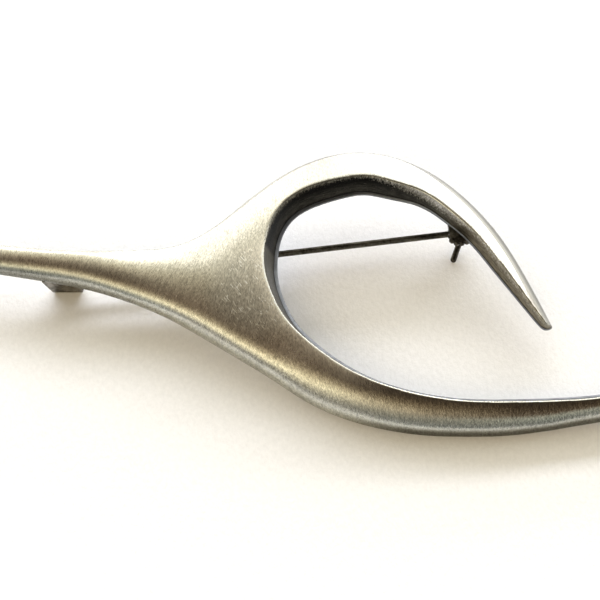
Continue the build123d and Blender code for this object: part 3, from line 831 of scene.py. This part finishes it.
def pewter_material():
    """Satin pewter brushed across the form, near black inside the loop, with a painted highlight at the
    rim that is partly wear, and other painted light and shade.
    """
    m = Shader("pewter")
    brush = m.vector("brush")
    spot = m.vector("spot")
    rim = m.value("rim")
    rim_highlight_band = m.value("rim_highlight_band")
    place = m.add("SeparateXYZ", Vector=spot).outputs
    along, across, up = place["X"], place["Y"], place["Z"]
    across_body = m.add("SeparateXYZ", Vector=brush).outputs["Y"]
    fine = m.noise(brush, *FINE_STROKES)
    middle = m.noise(brush, *MIDDLE_STROKES)
    stray = m.noise(m.vector("stray"), *STRAY_STROKES)
    broad = m.noise(brush, *BROAD_STROKES)
    cloud = m.noise(spot, *CLOUDS)
    grain = m.noise(spot, *GRAIN)
    streaks = m.noise(m.vector("wall_place"), *WALL_STREAKS)
    streak = m.total(m.product(fine, 0.80), m.product(middle, 0.20))
    ragged = m.product(m.centred(fine), PATINA_RAGGED)
    inside = m.span(m.total(m.value("from_rim"), ragged), *PATINA_SPAN)

    ring = m.total(
        squared_off(m, along, SCUFF_MIDDLE[0], SCUFF_RADII[0]),
        squared_off(m, across_body, SCUFF_MIDDLE[1], SCUFF_RADII[1]),
    )
    scuffed = m.span(ring, *SCUFF_EDGE)
    deep = m.span(m.noise(brush, *SCRATCHES), *SCRATCH_SPAN)
    crossing = m.span(stray, *CROSSING_SPAN)
    scratched = m.product(m.weighted(deep, (crossing, 0.8)), scuffed)

    # Painted light on the upper arm, which faces the window.
    lit_upper_arm = patch(m, across, ARM_ACROSS, along, ARM_ALONG, ARM_SHARE)
    # Painted shade low down on the near sides of the lower arm and the tail.
    foot = patch(m, up, FOOT_UP, along, FOOT_ALONG, FOOT_SHADE_SHARE)
    shaded_tail_foot = patch(m, up, TAIL_FOOT_UP, along, TAIL_FOOT_ALONG, TAIL_FOOT_SHADE_SHARE)
    # A band painted lighter and a painted darker near side across the tail, for its reflections.
    lighter = patch(
        m, across_body, TAIL_LIGHT_ACROSS, along, TAIL_LIGHT_ALONG, TAIL_HIGHLIGHT_SHARE
    )
    darker = patch(m, across_body, TAIL_DARK_ACROSS, along, TAIL_DARK_ALONG, TAIL_SHADE_SHARE)
    bright = m.total(m.product(streak, 2.7), m.product(stray, 0.5), -0.60)
    # The band beside the rim and the line along it are painted highlights.
    bright = m.weighted(
        bright, (m.centred(broad), 0.12), (m.centred(cloud), 0.12), (scratched, 1.4),
        (rim, 0.70), (rim_highlight_band, 0.8),
    )
    # The upper arm's painted light, painted shade low down, the tail's painted bands and painted shade
    # on the side that falls away from the camera.
    bright = m.product(
        m.blend(lit_upper_arm, bright, ARM_PAINTED_LIGHT),
        m.one_less(m.total(foot, shaded_tail_foot)),
        m.total(1.0, m.math("SUBTRACT", lighter, darker)),
        m.one_less(m.product(m.value("far_side_shade"), FAR_SIDE_SHADE_SHARE)),
    )
    bare = m.mix(cloud, WARM_METAL, PALE_METAL)
    bare = m.mix(lit_upper_arm, bare, ARM_PAINTED_LIGHT_METAL)
    # A painted reflection tint on the low sides.
    metal = m.tone(m.mix(m.span(up, *LOW_REFLECTION_UP), bare, LOW_REFLECTION_METAL), bright)
    # Painted highlight along the rim, partly rubbed wear.
    metal = m.mix(m.product(rim, 0.7), metal, RIM_HIGHLIGHT_METAL)
    metal = m.mix(m.value("back"), metal, m.tone(metal, BACK_BRIGHTNESS))
    colour = m.mix(inside, metal, patina_colour(m, spot, place, grain, streaks))
    brown = m.product(inside, m.one_less(inside), 3.2)
    colour = m.mix(m.product(brown, 0.40), colour, EDGE_BROWN)

    rough = m.total(
        m.product(streak, 0.16),
        m.span(along, *ARMS_ALONG, *ARMS_ROUGHNESS),
        m.span(along, *TAIL_ALONG, *TAIL_ROUGHNESS),
    )
    rough = m.weighted(rough, (m.centred(cloud), 0.10), (scuffed, 0.17), (rim_highlight_band, 0.30))
    rough = m.blend(inside, rough, m.weighted(0.34, (grain, 0.2)))
    height = m.total(m.product(fine, 0.7), m.product(middle, 0.7), m.product(scratched, -0.5))
    height = m.blend(inside, height, m.weighted(streaks, (grain, 0.8)))
    return m.finish(
        Base_Color=colour, Metallic=1.0, Roughness=rough, Anisotropic=0.6,
        Tangent=m.vector("across_brush"), Normal=m.bump(height, PEWTER_BUMP),
    )


form_mesh.materials.append(pewter_material())
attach(form, "brooch")
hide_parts("brooch_body")

# Old steels. Columns: light colour, dark colour, repeats of the streaks in a metre along each axis.
OLD_SHEET = ((0.15, 0.14, 0.12), (0.03, 0.027, 0.022), (800, 800, 800))
OLD_WIRE = ((0.19, 0.18, 0.15), (0.045, 0.042, 0.035), (350, 2000, 2000))
OLD_RIVET = ((0.15, 0.135, 0.105), (0.035, 0.031, 0.026), (1400, 1400, 1400))
STEEL_SPOTS = ((2600, 2600, 2600), 3.0, 0.65)
RUBBED_SPAN = (0.35, 0.68)

# The steel is brighter towards the catch: a span along the row frame, in metres.
CATCH_ALONG = (-0.010, -0.022)
CATCH_BRIGHTNESS = 2.1


def steel_material(name, light, dark, scale):
    """Old drawn wire or sheet: dark oxide with lighter worn streaks, brighter towards the catch."""
    m = Shader(name)
    place = m.add("TexCoord").outputs["Object"]
    along = m.add("SeparateXYZ", Vector=place).outputs["X"]
    brightening = m.span(along, *CATCH_ALONG, 1.0, CATCH_BRIGHTNESS)
    streaks = m.noise(place, scale, 3.0, 0.6)
    spots = m.noise(place, *STEEL_SPOTS)
    share = m.span(m.total(m.product(streaks, 0.6), m.product(spots, 0.4)), *RUBBED_SPAN)
    return m.finish(
        Base_Color=m.tone(m.mix(share, dark, light), brightening), Metallic=1.0,
        Roughness=m.weighted(0.24, (spots, 0.25)),
        Normal=m.bump(m.total(streaks, spots), STEEL_BUMP),
    )


# Lumps of solder round the hinge plate. Columns: along the stem, to the near side, height, radius.
SOLDER_BEADS = (
    (1.15, 0.70, -0.25, 0.36), (1.35, 1.35, -0.30, 0.34), (1.20, 1.95, -0.25, 0.42),
    (0.75, 2.40, -0.30, 0.36), (0.10, 2.50, -0.28, 0.34), (-0.55, 2.35, -0.24, 0.40),
    (-1.15, 2.20, -0.30, 0.38), (0.45, 1.95, -0.55, 0.40), (-0.25, 2.05, -0.60, 0.36),
)

# The findings are cut off just under the flat back and then carried up into the form, and their
# corners and edges are rounded. Sizes in mm in the form's frame.
WELD = 1e-4
CUT_HEIGHT = -0.004
SUNK_HEIGHT = 0.12
PLATE_EDGE = (0.4, 0.6)
CORNER_ROUND = 0.8
EDGE_ROUND = 0.08
FLAT_ANGLE = math.radians(1.0)
EDGE_ANGLE = math.radians(40)
SHARP_ANGLE = math.radians(35)


def is_plate_corner(edge):
    """An upright edge of the hinge plate, as long as the plate is thick."""
    way = edge.verts[1].co - edge.verts[0].co
    upright = abs(way.z) > 0.98 * way.length
    return edge.is_manifold and upright and PLATE_EDGE[0] < way.length < PLATE_EDGE[1]


def soften(bm, edges, offset, segments):
    bmesh.ops.bevel(
        bm, geom=edges, offset=offset, offset_type="OFFSET", segments=segments, profile=0.5,
        affect="EDGES", clamp_overlap=True,
    )


def findings_piece():
    """The hinge bracket and the catch on the back, with softened edges and lumps of solder."""
    mesh = frame["nodes"]["brooch_body"].data.copy()
    mesh.name = "findings"
    bm = bmesh.new()
    bm.from_mesh(mesh)
    for vert, place in zip(bm.verts, to_form_frame([v.co[:] for v in bm.verts])):
        vert.co = place
    bmesh.ops.remove_doubles(bm, verts=bm.verts, dist=WELD)
    bmesh.ops.bisect_plane(
        bm, geom=bm.verts[:] + bm.edges[:] + bm.faces[:], dist=WELD,
        plane_co=(0, 0, CUT_HEIGHT), plane_no=(0, 0, 1), clear_outer=True,
    )
    rims = [e for e in bm.edges if e.is_boundary]
    raised = bmesh.ops.extrude_edge_only(bm, edges=rims)["geom"]
    for vert in (g for g in raised if isinstance(g, bmesh.types.BMVert)):
        vert.co.z = SUNK_HEIGHT
    bmesh.ops.holes_fill(bm, edges=[e for e in bm.edges if e.is_boundary], sides=0)
    bmesh.ops.recalc_face_normals(bm, faces=bm.faces)
    bmesh.ops.dissolve_limit(
        bm, angle_limit=FLAT_ANGLE, verts=bm.verts, edges=bm.edges, use_dissolve_boundaries=False,
    )
    soften(bm, [e for e in bm.edges if is_plate_corner(e)], CORNER_ROUND, 5)
    bent = [e for e in bm.edges if e.is_manifold and e.calc_face_angle(0) > EDGE_ANGLE]
    soften(bm, bent, EDGE_ROUND, 2)
    hinge = to_form_frame([frame["record"]["behaviour"]["joints"][0]["pos_m"]])[0]
    stem = np.array(frame["record"]["mounts"][0]["axis"][:2])
    across_stem = np.array([-stem[1], stem[0]])
    for along, near, height, radius in SOLDER_BEADS:
        place = hinge[:2] + stem * along + across_stem * near
        bmesh.ops.create_icosphere(
            bm, subdivisions=3, radius=radius, matrix=Matrix.Translation((*place, height))
        )
    bmesh.ops.triangulate(bm, faces=[f for f in bm.faces if len(f.verts) > 4])
    points = np.array([v.co[:] for v in bm.verts])
    for vert, place in zip(bm.verts, to_row_frame(points)):
        vert.co = place
    bm.to_mesh(mesh)
    bm.free()
    mesh.materials.clear()
    mesh.shade_smooth()
    obj = bpy.data.objects.new("findings", mesh)
    bpy.context.collection.objects.link(obj)
    mesh.set_sharp_from_angle(angle=SHARP_ANGLE)
    return obj


findings = findings_piece()
findings.data.materials.append(steel_material("old_sheet", *OLD_SHEET))
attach(findings, "brooch")
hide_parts("brooch_body")

frame["nodes"]["pin_stem"].data.materials[0] = steel_material("old_wire", *OLD_WIRE)
frame["nodes"]["hinge_rivet"].data.materials[0] = steel_material("old_rivet", *OLD_RIVET)

# The paper: its size in metres, its colours, and its noises with their repeats in a metre.
PAPER_SIZE = 12.0
PAPER_CREAM = (0.865, 0.85, 0.83)
PAPER_GREY = (0.86, 0.85, 0.835)
PAPER_TOOTH = ((1900, 1300, 1300), 4.0, 0.7)
PAPER_CLOUDS = ((90, 90, 90), 2.0)
PAPER_FLECKS = ((420, 420, 420), 1.0)
FLECK_SPAN = (0.80, 0.84)


def paper_material():
    """White drawing paper with a soft tooth and a few flecks."""
    m = Shader("paper")
    place = m.add("TexCoord").outputs["Object"]
    tooth = m.noise(place, *PAPER_TOOTH)
    soft = m.noise(place, *PAPER_CLOUDS)
    fleck = m.span(m.noise(place, *PAPER_FLECKS), *FLECK_SPAN)
    bright = m.weighted(0.88, (tooth, 0.22), (m.centred(soft), 0.02), (fleck, -0.10))
    return m.finish(
        Base_Color=m.tone(m.mix(soft, PAPER_CREAM, PAPER_GREY), bright),
        Roughness=0.9, Normal=m.bump(tooth, PAPER_BUMP),
    )


bpy.ops.mesh.primitive_plane_add(size=PAPER_SIZE, location=(0, 0, 0))
floor = bpy.context.object
floor.name = "paper"
floor.data.materials.append(paper_material())


def area_light(name, azimuth, elevation, distance, width, height, radiance, colour):
    """A soft box seen from the origin at an azimuth (0 is +Y, 90 is +X) and an elevation."""
    a, e = math.radians(azimuth), math.radians(elevation)
    place = Vector((math.sin(a) * math.cos(e), math.cos(a) * math.cos(e), math.sin(e))) * distance
    data = bpy.data.lights.new(name, "AREA")
    data.shape = "RECTANGLE"
    data.size = width
    data.size_y = height
    data.color = colour
    data.energy = radiance * math.pi * width * height
    obj = bpy.data.objects.new(name, data)
    obj.location = place
    obj.rotation_euler = (-place).to_track_quat("-Z", "Y").to_euler()
    obj.visible_glossy = False
    bpy.context.collection.objects.link(obj)


# Columns: name, azimuth, elevation, distance, width, height, radiance, colour.
LIGHTS = (
    ("window", -10, 24.0, 4.0, 9.6, 0.48, 19.5, (0.92, 0.98, 1.11)),
    ("low_window", -10, 10.5, 4.0, 9.6, 0.48, 14.5, (0.92, 0.98, 1.11)),
    ("fill", 180, 35, 4.0, 4.0, 2.0, 2.1, (1.0, 0.78, 0.48)),
)
for row in LIGHTS:
    area_light(*row)

# The room's tones, from behind the object (0 degrees), over it (90), to its front (180), in the
# middle and at the left and right sides. Columns: degrees, red, green, blue.
MIDDLE_TONES = (
    (0, 0.9, 0.9, 0.9), (14, 2.0, 2.0, 2.0), (24, 3.1, 3.1, 3.0),
    (37, 2.7, 2.72, 2.55), (46, 1.48, 1.50, 1.33), (56, 0.81, 0.79, 0.625),
    (66, 0.65, 0.61, 0.455), (75, 0.37, 0.315, 0.23), (86, 0.11, 0.086, 0.065),
    (104, 0.07, 0.053, 0.037), (116, 0.13, 0.095, 0.06), (128, 0.33, 0.255, 0.16),
    (140, 0.60, 0.515, 0.36), (147, 0.52, 0.475, 0.37), (154, 0.34, 0.33, 0.27),
    (160, 0.28, 0.28, 0.24), (166, 0.30, 0.315, 0.29), (174, 0.35, 0.365, 0.345),
    (180, 0.35, 0.365, 0.345),
)
LEFT_TONES = (
    (0, 0.9, 0.9, 0.9), (14, 2.0, 2.0, 2.0), (24, 3.0, 3.0, 2.9),
    (37, 2.4, 2.42, 2.25), (47, 1.3, 1.3, 1.15), (57, 0.78, 0.755, 0.61),
    (66, 0.72, 0.685, 0.52), (75, 0.62, 0.565, 0.425), (85, 0.41, 0.335, 0.24),
    (95, 0.26, 0.196, 0.14), (106, 0.24, 0.182, 0.125), (116, 0.50, 0.41, 0.27),
    (126, 1.05, 0.93, 0.63), (136, 2.1, 1.97, 1.42), (146, 1.15, 1.1, 0.83),
    (155, 0.54, 0.53, 0.435), (168, 0.38, 0.38, 0.34), (180, 0.35, 0.355, 0.33),
)
RIGHT_TONES = (
    (0, 0.9, 0.9, 0.9), (14, 2.0, 2.0, 2.0), (24, 3.2, 3.2, 3.1),
    (37, 3.2, 3.2, 3.0), (46, 2.0, 2.0, 1.85), (56, 0.80, 0.79, 0.68),
    (66, 0.40, 0.38, 0.31), (75, 0.14, 0.12, 0.09), (86, 0.055, 0.046, 0.036),
    (104, 0.05, 0.04, 0.03), (116, 0.045, 0.033, 0.022), (128, 0.065, 0.046, 0.029),
    (140, 0.11, 0.082, 0.055), (146, 0.15, 0.11, 0.075), (151, 0.47, 0.485, 0.42),
    (158, 0.42, 0.45, 0.40), (168, 0.28, 0.29, 0.265), (180, 0.23, 0.235, 0.22),
)

# The spans along X where the side tones take over from the middle ones, and where both give way to
# one tone at the ends.
LEFT_SPAN = (-0.12, -0.50)
RIGHT_SPAN = (0.03, 0.16)
END_SPAN = (0.75, 0.95)
END_TONE = (0.2, 0.2, 0.195)


def room_light(name):
    """A room of soft tones round the object, which light it and show in its metal."""
    world = bpy.data.worlds.new(name)
    world.use_nodes = True
    room = Nodes(world.node_tree)
    place = room.add("TexCoord").outputs["Generated"]
    split = room.add("SeparateXYZ", Vector=place).outputs
    turn = room.math("ARCTAN2", split["Z"], split["Y"])
    share = room.math("DIVIDE", turn, math.pi)
    colour = room.ramp(share, MIDDLE_TONES)
    for tones, (start, end) in ((LEFT_TONES, LEFT_SPAN), (RIGHT_TONES, RIGHT_SPAN)):
        side = room.add("MapRange", Value=split["X"], From_Min=start, From_Max=end)
        colour = room.mix(side.outputs["Result"], colour, room.ramp(share, tones))
    outward = room.math("ABSOLUTE", split["X"])
    ends = room.add("MapRange", Value=outward, From_Min=END_SPAN[0], From_Max=END_SPAN[1])
    colour = room.mix(ends.outputs["Result"], colour, END_TONE)
    background = world.node_tree.nodes["Background"]
    room.join(colour, background.inputs["Color"])
    room.join(ROOM_STRENGTH, background.inputs["Strength"])
    return world


scene.world = room_light("room")

# The camera looks down 55 degrees from the near side. Place in metres, lens and sensor in mm.
CAMERA_PLACE = (0.00002, -0.09165, 0.13106)
CAMERA_TILT = math.radians(35.0)
LENS = 78
SENSOR_WIDTH = 36
CLIP_START = 0.005
CLIP_END = 20

camera_data = bpy.data.cameras.new("camera")
camera_data.sensor_width = SENSOR_WIDTH
camera_data.lens = LENS
camera_data.clip_start = CLIP_START
camera_data.clip_end = CLIP_END
camera = bpy.data.objects.new("camera", camera_data)
camera.location = CAMERA_PLACE
camera.rotation_euler = (CAMERA_TILT, 0, 0)
bpy.context.collection.objects.link(camera)
scene.camera = camera
